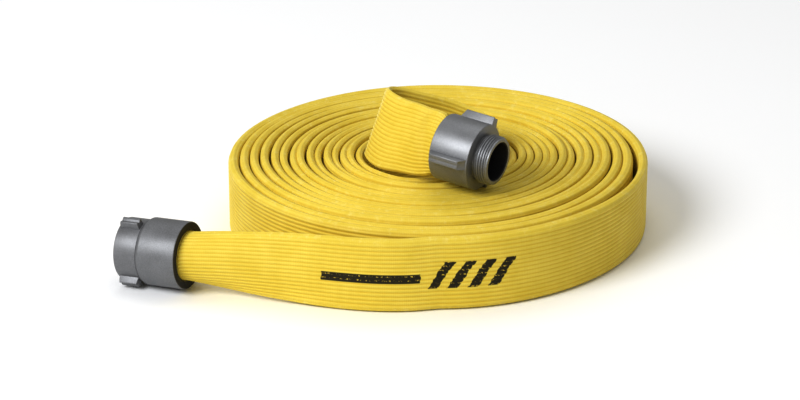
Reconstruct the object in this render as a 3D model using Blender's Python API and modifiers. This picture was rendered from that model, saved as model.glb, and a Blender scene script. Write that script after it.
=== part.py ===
"""Rolled fire hose: a ribbed lay-flat hose wound on edge, with a screwed coupling on each end.

Metres, +Z up, the roll resting on Z = 0 with its flat faces up and down.  The outer end of the hose
leaves the roll at the front and carries the female swivel coupling, which lies on the same surface.
The inner end climbs out of the eye, folds back on itself and carries the male coupling, which rests on
the roll.  Each coupling is modelled along its own +Z, from the rim where the hose enters (Z = 0) to the
threaded end, and is placed by an empty.
"""
import math

import bmesh
import bpy
import numpy as np
from mathutils import Matrix, Vector

# ---------------------------------------------------------------- driving dimensions
GAP = 0.0003                 # clearance kept between pieces that touch

HOSE_WIDTH = 0.077           # lay-flat width, which stands upright in the roll
HOSE_FLAT = 0.0075           # thickness of the flattened hose
HOSE_RADIUS = 0.0245         # outer radius of the hose where it is round
HOSE_WALL = 0.0024

ROLL_AXIS = Vector((0.0513, 0.0070, 0.0))   # centre of the roll on the surface it rests on
TURNS = 14.75                # full turns held by the roll itself
EYE_RADIUS = 0.0821          # outer radius of the innermost turn
TURN_PITCH = 0.0084          # distance from turn to turn near the eye
LOOSENESS = 0.0195           # how much further out the outermost turn lies than a tight roll's
LOOSE_DECAY = 3.6            # turns over which that looseness dies away
FRONT_BULGE = 0.0018         # the outermost turn stands off where the tail leaves
BULGE_TURNS = 0.07
BACK_FLAT = 0.0050           # and is pressed in at the back
BACK_FLAT_AT = 0.62
BACK_FLAT_TURNS = 0.10
EYE_SHIFT = -0.003           # the inner turns lie this far to the left of the outermost

BOWL_RADIUS = 0.0340
SWIVEL_RADIUS = 0.0313
POCKET_RADIUS = 0.0252       # bore that the hose end is clamped in
MOUTH_RADIUS = 0.0258
WATERWAY_RADIUS = 0.0195     # 1 1/2 in waterway
THREAD_PITCH = 0.0254 / 9    # 1 1/2 in fire hose thread, 9 threads to the inch
THREAD_MAJOR = 0.0252
THREAD_MINOR = 0.0236

LUG_RISE = 0.0079            # how far a lug stands off its coupling
LUG_WIDTH = 0.0105
LUG_COUNT = 3

MALE_BOWL_LENGTH = 0.0440
MALE_TIP = 0.0613
FEMALE_BOWL_LENGTH = 0.0435
FEMALE_NECK_END = 0.0525
SWIVEL_START = 0.0440
SWIVEL_END = 0.0685

BALL_RADIUS = 0.00238        # 3/16 in balls
BALL_COUNT = 34
RACE_RADIUS = 0.02695        # circle that the ball centres run on
RACE_Z = 0.0482
RACE_CLEARANCE = 0.00034
NECK_RADIUS = 0.0268
SWIVEL_BORE = 0.0271

SEGMENTS = 48
THREAD_SEGMENTS = 40

MALE_AXIS = Vector((0.850, -0.520, -0.079)).normalized()
MALE_REAR = Vector((0.0077, -0.0877, 0.1197)) + ROLL_AXIS
MALE_LUG_ANGLE = math.radians(56.3)          # of the upper lug, up from the level direction behind
FEMALE_AXIS = Vector((-0.9196, 0.3904, -0.0436)).normalized()
FEMALE_REAR = Vector((-0.2485, -0.1735, 0.0360)) + ROLL_AXIS
FEMALE_LUG_ANGLE = math.radians(70.9)        # of the upper lug, up from the level direction in front

# The tail's stations from the roll to the female coupling, about the roll's axis:
# centre x, y, z and how round the hose is, from 0 (flat) to 1 (round).
TAIL_STATIONS = [
    (-0.0300, -0.2273, 0.0385, 0.00),
    (-0.0600, -0.2274, 0.0385, 0.00),
    (-0.0885, -0.2235, 0.0385, 0.00),
    (-0.1180, -0.2162, 0.0385, 0.04),
    (-0.1470, -0.2075, 0.0383, 0.14),
    (-0.1780, -0.1982, 0.0380, 0.32),
    (-0.2100, -0.1880, 0.0377, 0.58),
]

# The lead's stations from the eye to the male coupling, about the roll's axis:
# centre x, y, z, the direction across the hose's width, and how round the hose is.
LEAD_STATIONS = [
    (-0.0765, -0.0240, 0.0386, 0.00, 0.00, 1.00, 0.00),
    (-0.0648, -0.0440, 0.0387, 0.00, 0.00, 1.00, 0.00),
    (-0.0350, -0.0668, 0.0388, 0.00, 0.00, 1.00, 0.00),
    (0.0080, -0.0685, 0.0402, -0.05, 0.00, 1.00, 0.00),
    (0.0440, -0.0520, 0.0470, -0.12, -0.02, 1.00, 0.00),
    (0.0640, -0.0140, 0.0590, -0.08, -0.18, 1.00, 0.00),
    (0.0500, 0.0200, 0.0740, 0.16, -0.10, 1.00, 0.00),
    (0.0120, 0.0280, 0.0870, 0.25, 0.06, 1.00, 0.00),
    (-0.0260, 0.0220, 0.0990, 0.26, 0.18, 1.00, 0.00),
    (-0.0490, 0.0135, 0.1070, 0.26, 0.30, 1.00, 0.00),
    (-0.0612, 0.0035, 0.1115, 0.26, 0.38, 1.00, 0.00),
    (-0.0592, -0.0085, 0.1135, 0.26, 0.42, 1.00, 0.00),
    (-0.0465, -0.0225, 0.1140, 0.25, 0.42, 1.00, 0.02),
    (-0.0285, -0.0430, 0.1158, 0.20, 0.42, 1.00, 0.14),
    (-0.0110, -0.0655, 0.1176, 0.15, 0.32, 1.00, 0.50),
]

YELLOW = (0.80, 0.55, 0.06)
GREY = (0.22, 0.22, 0.23)
BRIGHT_GREY = (0.34, 0.34, 0.35)
BLACK_RUBBER = (0.02, 0.02, 0.02)
BRASS = (0.60, 0.42, 0.16)
STEEL = (0.55, 0.55, 0.57)

# ---------------------------------------------------------------- scene, collections and materials
for old in list(bpy.data.objects):
    bpy.data.objects.remove(old, do_unlink=True)

PARTS = bpy.data.collections.new("rolled_fire_hose")
CUTTERS = bpy.data.collections.new("cutters")
for collection in (PARTS, CUTTERS):
    bpy.context.scene.collection.children.link(collection)


def material(name, colour, roughness, metallic=0.0):
    """A Principled material of one colour."""
    made = bpy.data.materials.new(name)
    made.use_nodes = True
    shader = made.node_tree.nodes["Principled BSDF"]
    shader.inputs["Base Color"].default_value = (*colour, 1.0)
    shader.inputs["Roughness"].default_value = roughness
    shader.inputs["Metallic"].default_value = metallic
    return made


def add_object(name, mesh, frame=None, shader=None, cutter=False):
    """Link a mesh as an object, placed by its frame's empty and with a material of its own."""
    obj = bpy.data.objects.new(name, mesh)
    (CUTTERS if cutter else PARTS).objects.link(obj)
    if frame is not None:
        obj.parent = frame
    if cutter:
        obj.hide_render = True
        obj.display_type = "WIRE"
    if shader is not None:
        colour, roughness, metallic = shader
        mesh.materials.append(material(name, colour, roughness, metallic))
    return obj


def coupling_frame(name, origin, axis):
    """An empty whose +Z is the coupling's axis and whose +X lies level."""
    level = Vector((0.0, 0.0, 1.0)).cross(axis).normalized()
    upright = axis.cross(level)
    empty = bpy.data.objects.new(name, None)
    empty.matrix_world = Matrix.Translation(origin) @ Matrix((level, upright, axis)).transposed().to_4x4()
    empty.empty_display_size = 0.02
    PARTS.objects.link(empty)
    return empty


# ---------------------------------------------------------------- modelling helpers
def turned(name, profile, frame=None, shader=None, cutter=False, segments=SEGMENTS):
    """A turned piece: a closed profile of (radius, z), down its outer side first, with a Screw modifier."""
    mesh = bpy.data.meshes.new(name)
    corners = [(radius, 0.0, z) for radius, z in profile]
    on_axis = profile[0][0] == 0.0 and profile[-1][0] == 0.0
    last = len(corners) - 1 if on_axis else len(corners)
    mesh.from_pydata(corners, [(i, (i + 1) % len(corners)) for i in range(last)], [])
    obj = add_object(name, mesh, frame, shader, cutter)
    screw = obj.modifiers.new("Turn", "SCREW")
    screw.axis = "Z"
    screw.steps = segments
    screw.render_steps = segments
    screw.use_merge_vertices = True
    screw.merge_threshold = 0.00001
    screw.use_smooth_shade = False
    return obj


def combine(obj, other, operation):
    """Join a piece with, or cut it by, another one, with an exact Boolean."""
    boolean = obj.modifiers.new(operation.title(), "BOOLEAN")
    boolean.operation = operation
    boolean.solver = "EXACT"
    boolean.object = other


def arc(centre_radius, centre_z, radius, start, end, steps):
    """Points of an arc in the (radius, z) plane, angles in degrees from the outward direction."""
    points = []
    for i in range(steps + 1):
        angle = math.radians(start + (end - start) * i / steps)
        points.append((centre_radius + radius * math.cos(angle), centre_z + radius * math.sin(angle)))
    return points


def thread_height(z, angle, start, end):
    """Height of the thread's flank, from 0 at the root to 1 at the crest, faded out at both ends."""
    phase = (z / THREAD_PITCH - angle / math.tau) % 1.0
    ramp = min(phase, 1.0 - phase) * 2.0
    tooth = min(1.0, max(0.0, (ramp - 0.18) / 0.62))
    fade = min(1.0, max(0.0, (z - start) / (0.6 * THREAD_PITCH)), max(0.0, (end - z) / (0.4 * THREAD_PITCH)))
    return tooth * fade


def threaded_plug(name, start, end, minor, major, frame):
    """A solid plug with a helical thread, whose radius follows the thread's height around and along it."""
    rows = round((end - start) / THREAD_PITCH * 5.0)
    body = bmesh.new()
    rings = []
    for j in range(rows + 1):
        z = start + (end - start) * j / rows
        ring = []
        for i in range(THREAD_SEGMENTS):
            angle = math.tau * i / THREAD_SEGMENTS
            radius = minor + (major - minor) * thread_height(z, angle, start, end)
            ring.append(body.verts.new((radius * math.cos(angle), radius * math.sin(angle), z)))
        rings.append(ring)
    for lower, upper in zip(rings, rings[1:]):
        for i in range(THREAD_SEGMENTS):
            k = (i + 1) % THREAD_SEGMENTS
            body.faces.new((lower[i], lower[k], upper[k], upper[i]))
    body.faces.new(list(reversed(rings[0])))
    body.faces.new(rings[-1])
    mesh = bpy.data.meshes.new(name)
    body.to_mesh(mesh)
    body.free()
    return add_object(name, mesh, frame, cutter=True)


def outline_solid(name, outline, height, frame=None, shader=None, cutter=False):
    """A flat outline (one closed loop of x, y points, or several) given a height from z = 0."""
    curve = bpy.data.curves.new(name, "CURVE")
    curve.dimensions = "2D"
    curve.fill_mode = "BOTH"
    curve.extrude = height / 2
    for loop in outline:
        spline = curve.splines.new("POLY")
        spline.points.add(len(loop) - 1)
        for point, (x, y) in zip(spline.points, loop):
            point.co = (x, y, 0.0, 1.0)
        spline.use_cyclic_u = True
    flat = bpy.data.objects.new(name + "_outline", curve)
    bpy.context.scene.collection.objects.link(flat)
    bpy.context.view_layer.update()
    evaluated = flat.evaluated_get(bpy.context.evaluated_depsgraph_get())
    mesh = bpy.data.meshes.new_from_object(evaluated)
    bpy.data.objects.remove(flat, do_unlink=True)
    body = bmesh.new()
    body.from_mesh(mesh)
    bmesh.ops.translate(body, verts=body.verts, vec=(0.0, 0.0, height / 2))
    bmesh.ops.remove_doubles(body, verts=body.verts, dist=0.00001)
    bmesh.ops.recalc_face_normals(body, faces=body.faces)
    body.to_mesh(mesh)
    body.free()
    return add_object(name, mesh, frame, shader, cutter)


def add_lug(body, frame, name, base_radius, rise, width, span, angle, slopes, groove):
    """A rocker lug along the barrel: its cross-section drawn flat, given its length, ends sloped, joined on."""
    start, end = span
    root = base_radius - 0.0015
    top = base_radius + rise
    half = width / 2
    section = [(root, -half), (top - 0.0012, -half * 0.92), (top, -half * 0.68)]
    if groove > 0.0:
        section += [(top, -half * 0.30), (top - groove, 0.0), (top, half * 0.30)]
    section += [(top, half * 0.68), (top - 0.0012, half * 0.92), (root, half)]
    lug = outline_solid(name, [section], end - start, frame, cutter=True)
    rear_slope, front_slope = slopes
    for vertex in lug.data.vertices:
        lift = max(0.0, vertex.co.x - base_radius) / rise
        if vertex.co.z < (end - start) / 2:
            vertex.co.z += rear_slope * lift
        else:
            vertex.co.z -= front_slope * lift
    lug.location = (0.0, 0.0, start)
    lug.rotation_euler = (0.0, 0.0, angle)
    combine(body, lug, "UNION")


# ---------------------------------------------------------------- the hose's path
def outer_radius(n):
    """Outer radius of the roll's spiral, n turns in from the front where the tail leaves."""
    tight = EYE_RADIUS + TURN_PITCH * (TURNS - n)
    bulge = FRONT_BULGE * math.exp(-((n / BULGE_TURNS) ** 2))
    pressed = BACK_FLAT * math.exp(-(((n - BACK_FLAT_AT) / BACK_FLAT_TURNS) ** 2))
    return tight + LOOSENESS * math.exp(-n / LOOSE_DECAY) + bulge - pressed


def spiral_point(n, inset):
    """Point of the spiral n turns in, that far inside the outer surface, winding from the front to the right."""
    radius = outer_radius(n) - inset
    angle = math.tau * n - math.pi / 2
    return EYE_SHIFT * min(1.0, max(0.0, 2.0 * n)) + radius * math.cos(angle), radius * math.sin(angle)


def smooth_path(stations, steps):
    """Centripetal Catmull-Rom curve through stations whose first three values are a position."""
    rows = np.array(stations, float)
    rows = np.vstack([2 * rows[0] - rows[1], rows, 2 * rows[-1] - rows[-2]])
    curve = []
    for i in range(1, len(rows) - 2):
        a, b, c, d = rows[i - 1:i + 3]
        knots = [0.0]
        for p, q in ((a, b), (b, c), (c, d)):
            knots.append(knots[-1] + math.sqrt(np.linalg.norm((q - p)[:3])))
        t0, t1, t2, t3 = knots
        for t in np.linspace(t1, t2, steps, endpoint=False):
            ab = ((t1 - t) * a + (t - t0) * b) / (t1 - t0)
            bc = ((t2 - t) * b + (t - t1) * c) / (t2 - t1)
            cd = ((t3 - t) * c + (t - t2) * d) / (t3 - t2)
            abc = ((t2 - t) * ab + (t - t0) * bc) / (t2 - t0)
            bcd = ((t3 - t) * bc + (t - t1) * cd) / (t3 - t1)
            curve.append(((t2 - t) * abc + (t - t1) * bcd) / (t2 - t1))
    curve.append(rows[-2])
    return np.array(curve)


def hose_section(roundness, points=16):
    """The hose's outline across its path as (across the width, across the thickness), flat to round."""
    straight = HOSE_WIDTH - HOSE_FLAT
    section = []
    for i in range(points):
        angle = math.tau * i / points
        along = math.cos(angle)
        through = math.sin(angle)
        end = math.copysign(1.0, along) if abs(along) > 1e-9 else 0.0
        flat_u = end * straight / 2 * min(1.0, abs(along) * 1.15) + HOSE_FLAT / 2 * along
        flat_v = HOSE_FLAT / 2 * max(-1.0, min(1.0, through * 1.5))
        section.append((
            flat_u * (1.0 - roundness) + HOSE_RADIUS * along * roundness,
            flat_v * (1.0 - roundness) + HOSE_RADIUS * through * roundness,
        ))
    return section


def hose_loft(name, rows, first_direction, last_direction):
    """A closed solid along rows of position, width direction and roundness, square to a direction at each end."""
    centres = rows[:, :3] + np.array(ROLL_AXIS)
    tangents = np.gradient(rows[:, :3], axis=0)
    tangents /= np.linalg.norm(tangents, axis=1)[:, None]
    tangents[0] = np.array(first_direction)
    tangents[-1] = np.array(last_direction)
    body = bmesh.new()
    rings = []
    for centre, tangent, row in zip(centres, tangents, rows):
        across = row[3:6] - np.dot(row[3:6], tangent) * tangent
        across /= np.linalg.norm(across)
        through = np.cross(tangent, across)
        roundness = min(1.0, max(0.0, row[6]))
        rings.append([body.verts.new(centre + u * across + v * through) for u, v in hose_section(roundness)])
    count = len(rings[0])
    for lower, upper in zip(rings, rings[1:]):
        for i in range(count):
            k = (i + 1) % count
            body.faces.new((lower[i], lower[k], upper[k], upper[i]))
    body.faces.new(list(reversed(rings[0])))
    body.faces.new(rings[-1])
    bmesh.ops.recalc_face_normals(body, faces=body.faces)
    mesh = bpy.data.meshes.new(name)
    body.to_mesh(mesh)
    body.free()
    return add_object(name, mesh, shader=(YELLOW, 0.6, 0.0))


# ---------------------------------------------------------------- the hose
def make_roll():
    """The wound turns as one solid: the roll's outer shape, with the eye open through it."""
    per_turn = 96
    outer = [spiral_point(i / per_turn, 0.0) for i in range(per_turn + 1)]
    first_inner = TURNS - 1.0
    inner = [spiral_point(first_inner + i / per_turn, HOSE_FLAT) for i in range(per_turn + 1)]
    loops = [[(x + ROLL_AXIS.x, y + ROLL_AXIS.y) for x, y in loop] for loop in (outer, inner)]
    outline_solid("hose_roll", loops, HOSE_WIDTH, shader=(YELLOW, 0.6, 0.0))


def make_tail():
    """The outer end, from the roll's front to the female coupling."""
    start = spiral_point(0.0, HOSE_FLAT / 2)
    before = spiral_point(0.02, HOSE_FLAT / 2)
    middle = HOSE_WIDTH / 2
    rear = FEMALE_REAR - ROLL_AXIS
    out = -FEMALE_AXIS
    stations = [(*before, middle, 0.0), (EYE_SHIFT - 2 * GAP, start[1], middle, 0.0)]
    stations += TAIL_STATIONS
    stations += [(*(rear + out * 0.0120), 0.86), (*(rear + out * GAP), 1.0)]
    upright = (0.0, 0.0, 1.0)
    rows = smooth_path([(*s[:3], *upright, s[3]) for s in stations], 4)
    hose_loft("hose_tail", rows[4:], (-1.0, 0.0, 0.0), FEMALE_AXIS)


def make_lead():
    """The inner end, from the eye over the roll and back to the male coupling."""
    upright = (0.0, 0.0, 1.0)
    middle = HOSE_WIDTH / 2
    inset = HOSE_FLAT / 2
    rear = MALE_REAR - ROLL_AXIS
    back = -MALE_AXIS
    stations = [
        (*spiral_point(TURNS - 0.05, inset), middle, *upright, 0.0),
        (*spiral_point(TURNS + 0.0025, inset), middle, *upright, 0.0),
    ]
    stations += LEAD_STATIONS
    stations += [
        (*(rear + back * 0.0120), 0.10, 0.22, 1.0, 0.88),
        (*(rear + back * GAP), 0.10, 0.10, 1.0, 1.0),
    ]
    rows = smooth_path(stations, 4)
    hose_loft("hose_lead", rows[4:], (0.0, -1.0, 0.0), MALE_AXIS)


# ---------------------------------------------------------------- couplings
def hose_end_fittings(prefix, frame, pocket_depth):
    """What is clamped in a bowl: the hose's round end, the expansion ring inside it and the tail gasket."""
    outer = POCKET_RADIUS - GAP
    inner = outer - HOSE_WALL
    hose_end = pocket_depth - 0.0036
    turned(prefix + "_hose_end", [
        (outer, hose_end), (outer, 0.0004), (inner, 0.0004), (inner, hose_end),
    ], frame, (YELLOW, 0.6, 0.0))
    ring_outer = inner - GAP
    ring_inner = ring_outer - 0.0014
    turned(prefix + "_expansion_ring", [
        (ring_outer, hose_end - 0.0006), (ring_outer, 0.0024), (ring_outer - 0.0005, 0.0018),
        (ring_inner, 0.0018), (ring_inner, hose_end - 0.0006),
    ], frame, (BRASS, 0.35, 1.0))
    turned(prefix + "_tail_gasket", [
        (outer, pocket_depth - GAP), (outer, hose_end + GAP),
        (WATERWAY_RADIUS + 0.0006, hose_end + GAP), (WATERWAY_RADIUS + 0.0006, pocket_depth - GAP),
    ], frame, (BLACK_RUBBER, 0.8, 0.0))


def make_male():
    """The male coupling: one-piece bowl with three lugs, shoulder and threaded nose, and what it holds."""
    frame = coupling_frame("male_coupling", MALE_REAR, MALE_AXIS)
    length = MALE_BOWL_LENGTH
    pocket = 0.0335
    bowl = turned("male_bowl", [
        (0.0245, MALE_TIP - 0.0008), (0.0245, 0.0592), (0.0228, 0.0590), (0.0228, length),
        (BOWL_RADIUS - 0.0010, length), (BOWL_RADIUS, length - 0.0010),
        (BOWL_RADIUS, 0.0012), (BOWL_RADIUS - 0.0012, 0.0),
        (MOUTH_RADIUS, 0.0), (POCKET_RADIUS, 0.0012), (POCKET_RADIUS, pocket),
        (WATERWAY_RADIUS, pocket), (WATERWAY_RADIUS, MALE_TIP - 0.0008),
        (WATERWAY_RADIUS + 0.0008, MALE_TIP), (0.0237, MALE_TIP),
    ], frame, (BRIGHT_GREY, 0.45, 0.9))
    thread = threaded_plug("male_thread", 0.0468, 0.0596, THREAD_MINOR, THREAD_MAJOR, frame)
    bore = turned("male_thread_bore", [
        (0.0, 0.0650), (0.0222, 0.0650), (0.0222, 0.0430), (0.0, 0.0430),
    ], frame, cutter=True)
    combine(thread, bore, "DIFFERENCE")
    combine(bowl, thread, "UNION")
    for i in range(LUG_COUNT):
        # The lug that marks where the thread starts is set back from the shoulder.
        span = (0.0006, 0.0408) if i == 1 else (0.0066, length - 0.0004)
        slopes = (0.0003, 0.0060) if i == 1 else (0.0045, 0.0012)
        angle = MALE_LUG_ANGLE + math.tau * i / LUG_COUNT
        add_lug(bowl, frame, f"male_lug_{i + 1}", BOWL_RADIUS, LUG_RISE, LUG_WIDTH, span, angle, slopes, 0.0)
    hose_end_fittings("male", frame, pocket)


def make_female():
    """The female coupling: the bowl with its neck, the swivel ring, its balls, plug and gasket."""
    frame = coupling_frame("female_coupling", FEMALE_REAR, FEMALE_AXIS)
    length = FEMALE_BOWL_LENGTH
    pocket = 0.0345
    groove = BALL_RADIUS + RACE_CLEARANCE
    turned("female_bowl", [
        (NECK_RADIUS - 0.0006, FEMALE_NECK_END), (NECK_RADIUS, FEMALE_NECK_END - 0.0006),
        *arc(RACE_RADIUS, RACE_Z, groove, 94, 266, 6),
        (NECK_RADIUS, length), (SWIVEL_RADIUS - 0.0004, length), (BOWL_RADIUS, length - 0.0048),
        (BOWL_RADIUS, 0.0014), (BOWL_RADIUS - 0.0014, 0.0),
        (MOUTH_RADIUS, 0.0), (POCKET_RADIUS, 0.0012), (POCKET_RADIUS, pocket),
        (WATERWAY_RADIUS, pocket), (WATERWAY_RADIUS, FEMALE_NECK_END),
    ], frame, (GREY, 0.5, 0.9))

    swivel = turned("female_swivel", [
        (SWIVEL_RADIUS - 0.0012, SWIVEL_END), (SWIVEL_RADIUS, SWIVEL_END - 0.0012),
        (SWIVEL_RADIUS, SWIVEL_START + 0.0004), (SWIVEL_RADIUS - 0.0004, SWIVEL_START),
        (SWIVEL_BORE, SWIVEL_START), *arc(RACE_RADIUS, RACE_Z, groove, -86, 86, 6),
        (SWIVEL_BORE, 0.0562), (0.0238, 0.0562), (0.0238, SWIVEL_END),
    ], frame, (GREY, 0.5, 0.9))
    thread = threaded_plug("female_thread", 0.0556, SWIVEL_END + 0.0008, THREAD_MINOR + 0.0004,
                           THREAD_MAJOR + 0.0004, frame)
    combine(swivel, thread, "DIFFERENCE")
    for i in range(LUG_COUNT):
        angle = FEMALE_LUG_ANGLE + math.tau * i / LUG_COUNT
        add_lug(swivel, frame, f"female_lug_{i + 1}", SWIVEL_RADIUS, LUG_RISE, 0.0112,
                (SWIVEL_START + 0.0010, SWIVEL_END - 0.0010), angle, (0.0035, 0.0035), 0.0012)

    plug_angle = FEMALE_LUG_ANGLE + math.radians(180.0)
    place = Matrix.Rotation(plug_angle, 4, "Z") @ Matrix.Translation((0.0, 0.0, RACE_Z))
    place = place @ Matrix.Rotation(math.radians(90.0), 4, "Y")
    hole = turned("plug_hole", [
        (0.0, 0.0340), (0.0030, 0.0340), (0.0030, 0.0283), (0.0, 0.0283),
    ], frame, cutter=True, segments=20)
    hole.matrix_local = place
    combine(swivel, hole, "DIFFERENCE")
    plug = turned("ball_plug", [
        (0.0012, 0.0310), (0.0022, 0.0310), (0.0027, 0.0305), (0.0027, 0.0298), (0.0, 0.0298),
        (0.0, 0.0302), (0.0012, 0.0302),
    ], frame, (STEEL, 0.35, 1.0), segments=20)
    plug.matrix_local = place

    turned("swivel_gasket", [
        (SWIVEL_BORE - GAP, 0.0559), (SWIVEL_BORE - GAP, 0.0529), (WATERWAY_RADIUS + 0.0004, 0.0529),
        (WATERWAY_RADIUS + 0.0004, 0.0559),
    ], frame, (BLACK_RUBBER, 0.8, 0.0))

    for i in range(BALL_COUNT):
        angle = math.tau * i / BALL_COUNT
        centre = Matrix.Translation((RACE_RADIUS * math.cos(angle), RACE_RADIUS * math.sin(angle), RACE_Z))
        body = bmesh.new()
        bmesh.ops.create_uvsphere(body, u_segments=8, v_segments=6, radius=BALL_RADIUS, matrix=centre)
        mesh = bpy.data.meshes.new("bearing_ball")
        body.to_mesh(mesh)
        body.free()
        add_object(f"bearing_ball_{i + 1:02d}", mesh, frame, (STEEL, 0.2, 1.0))
    hose_end_fittings("female", frame, pocket)


make_roll()
make_tail()
make_lead()
make_male()
make_female()
bpy.context.view_layer.update()
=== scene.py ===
import math

import bmesh
import bpy
import numpy as np
from mathutils import Matrix, Vector


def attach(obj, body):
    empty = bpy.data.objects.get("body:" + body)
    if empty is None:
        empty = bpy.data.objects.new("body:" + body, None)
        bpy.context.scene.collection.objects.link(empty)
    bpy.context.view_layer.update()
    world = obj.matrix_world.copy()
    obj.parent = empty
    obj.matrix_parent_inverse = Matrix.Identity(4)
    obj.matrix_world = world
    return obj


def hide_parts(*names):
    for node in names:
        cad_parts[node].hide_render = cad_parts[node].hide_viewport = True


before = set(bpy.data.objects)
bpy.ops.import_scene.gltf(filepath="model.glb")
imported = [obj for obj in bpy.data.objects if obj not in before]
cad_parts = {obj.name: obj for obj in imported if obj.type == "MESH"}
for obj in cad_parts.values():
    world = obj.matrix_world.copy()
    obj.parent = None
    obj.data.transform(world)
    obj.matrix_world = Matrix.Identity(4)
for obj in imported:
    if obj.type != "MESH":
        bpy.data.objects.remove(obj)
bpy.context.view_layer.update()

# ---------------------------------------------------------------- sizes, in metres
# Everything about the roll is measured from its axis, which stands here on the floor.
ROLL_AXIS = Vector((0.0513, 0.0070, 0.0))

HOSE_WIDTH = 0.077
HOSE_RADIUS = 0.0245
RIB_COUNT = 38                  # ribs all the way round the hose
RIB_HEIGHT = 0.00062
RIB_SHARPNESS = 0.75            # below 1 makes the crests broad and the grooves narrow
FOLD_FROM = 0.72                # the ribs fade on the flat hose's two folded edges, from this cosine
FOLD_SPAN = 0.2                 # over this much more
FOLD_FADE = 0.6                 # by this share
LINING_WALL = 0.0022
BORE_ROUNDNESS = 0.35           # an end's bore goes in until the hose is flatter than this
BORE_ROWS = 40                  # and no more rows than this

TURNS = 14.75
EYE_RADIUS = 0.0821
TURN_PITCH = 0.0084
LOOSENESS = 0.0195
LOOSE_DECAY = 3.6
FRONT_BULGE = 0.0018
BULGE_TURNS = 0.07
BACK_FLAT = 0.0050
BACK_FLAT_AT = 0.62
BACK_FLAT_TURNS = 0.10
EYE_SHIFT = -0.003
EYE_SHIFT_TURNS = 0.5           # turns over which the roll takes up that shift
FLAT = 0.0076                   # thickness of the hose where it is pressed flattest
PUSHED_BACK = 0.19              # how much the roll's right side is pushed back, per metre

# How full the turns are.  A place on a turn is a share of it, from the front and round by the right.
ROOM_FILLED = 0.985             # share of its own space that a turn fills
THINNEST = 0.93                 # as a share of FLAT
LEFT_THINNING = 0.0012          # the turns are a little thinner on the left, the outer ones most
LEFT_AT = 0.75
LEFT_TURNS = 0.16
LEFT_DECAY = 7.0
RIGHT_THINNING = 0.0042         # the outermost turn stands clear of the next, ahead of the right side
RIGHT_AT = 0.19
RIGHT_TURNS = 0.055

# How the turns stray from a true spiral, as sine waves: (height, waves in a turn, phase).
SETTLE_FROM = 0.9               # the outermost turn doesn't stray
SETTLE_TURNS = 0.6
LIFT_HEIGHT = 0.0011
LIFT_MEAN = 1.3
LIFT_SLOW = ((1.0, 0.387, 0.6), (0.8, 0.231, 2.1))
LIFT_QUICK = ((0.55, 1.31, 1.2), (0.30, 2.43, 0.0))
WANDER_REACH = 0.00075
WANDER_SHARED = ((1.0, 3.03, 0.8), (0.7, 2.02, 2.6))
WANDER_OWN = ((0.16, 0.413, 0.0), (0.12, 4.37, 1.1))
LEAN_SLOPE = 0.022
LEAN_WAVES = ((1.0, 0.531, 0.3), (0.6, 1.17, 0.0))

# Where one run of the hose ends and the next begins, in turns.
OUTER_END = 1.0
MIDDLE_SPLIT = 7.0
INNER_START = 14.6
TAIL_OVERLAP = 0.02             # turns past each join that give the path its direction there
LEAD_OVERLAP = 0.04
ROWS_PER_TURN = 240
PATH_STEPS = 12                 # rows from one station of a path to the next, before they are respaced
SPACINGS = {"tail": 0.0045, "first turn": 0.0085, "wound outer": 0.0110, "wound inner": 0.0095,
            "last turn": 0.0070, "lead": 0.0035}
FINE = 6                        # points round each rib on the two free ends
COARSE = 4                      # and on the wound turns

MALE_AXIS = Vector((0.850, -0.520, -0.079)).normalized()
MALE_REAR = Vector((0.0077, -0.0877, 0.1197))
MALE_LUG_ANGLE = math.radians(56.3)
FEMALE_AXIS = Vector((-0.9196, 0.3904, -0.0436)).normalized()
FEMALE_REAR = Vector((-0.2485, -0.1735, 0.0360))
FEMALE_LUG_ANGLE = math.radians(70.9)

# Generic marks on the hose's outer face, in metres from the swivel coupling and as shares of the way
# round the hose.
INK_BAR = (0.141, 0.237)
INK_BAR_SHARE = (0.205, 0.262)
INK_STROKES = (0.228, 0.306)
INK_STROKE_STEP = 0.0200
INK_STROKE_WIDTH = 0.0105
INK_STROKE_SHARE = (0.165, 0.330)
INK_SLANT = 0.100
INK_SOFT = 0.0004
INK_SOFT_SHARE = 0.003
INK_SMEAR = 0.0030

CREASES = (0.252, 0.400)        # old folds that still show, metres from the swivel coupling
CREASE_REACH = 0.016
CREASE_DEPTH = 0.0011
WEAVE_PITCH = 0.00175
STRANDS_PER_RIB = 3
FOLD_ABOVE = 0.09               # height that only the lead's fold is over

GAP = 0.0003
BOWL_RADIUS = 0.0340
SWIVEL_RADIUS = 0.0313
LUG_COUNT = 3
LUG_RISE = 0.0079
LUG_ROOT = 0.0012               # how deep a lug's foot is set in
LUG_SOFT = 0.0007               # how far its ends' corners are softened
SWIVEL_LUG_LOWER = 0.0010       # the swivel's lugs stand this much less than the bowl's
# Lugs: width, start and end along the axis, how far the ends lean in, and how deep the top is dished.
LONG_LUG = {"width": 0.0105, "span": (0.0006, 0.0430), "slopes": (0.0042, 0.0055), "groove": 0.0004}
SHORT_LUG = {"width": 0.0105, "span": (0.0066, 0.0437), "slopes": (0.0045, 0.0010), "groove": 0.0017}
SWIVEL_LUG = {"width": 0.0100, "span": (0.0450, 0.0668), "slopes": (0.0016, 0.0014), "groove": 0.0026}
POCKET_RADIUS = 0.0252
MOUTH_RADIUS = 0.0262
MOUTH_DEPTH = 0.0016
MALE_POCKET = 0.0335            # depths of the pockets that hold the hose
FEMALE_POCKET = 0.0345
WATERWAY_RADIUS = 0.0195
SHADE_WATERWAY = 0.0201         # faces within these radii, or this near the rear rim, get a near-black metal as painted shade
SHADE_POCKET = 0.0256
SHADE_RIM = 0.0002
THREAD_PITCH = 0.0254 / 9
THREAD_SEGMENTS = 144
THREAD_ROWS = 14                # in one pitch
THREAD_ROOT = 0.14              # shares of half a pitch: the flat root, then the flank
THREAD_FLANK = 0.66
THREAD_START = 0.9              # pitches over which the outside thread starts, and runs out
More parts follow.
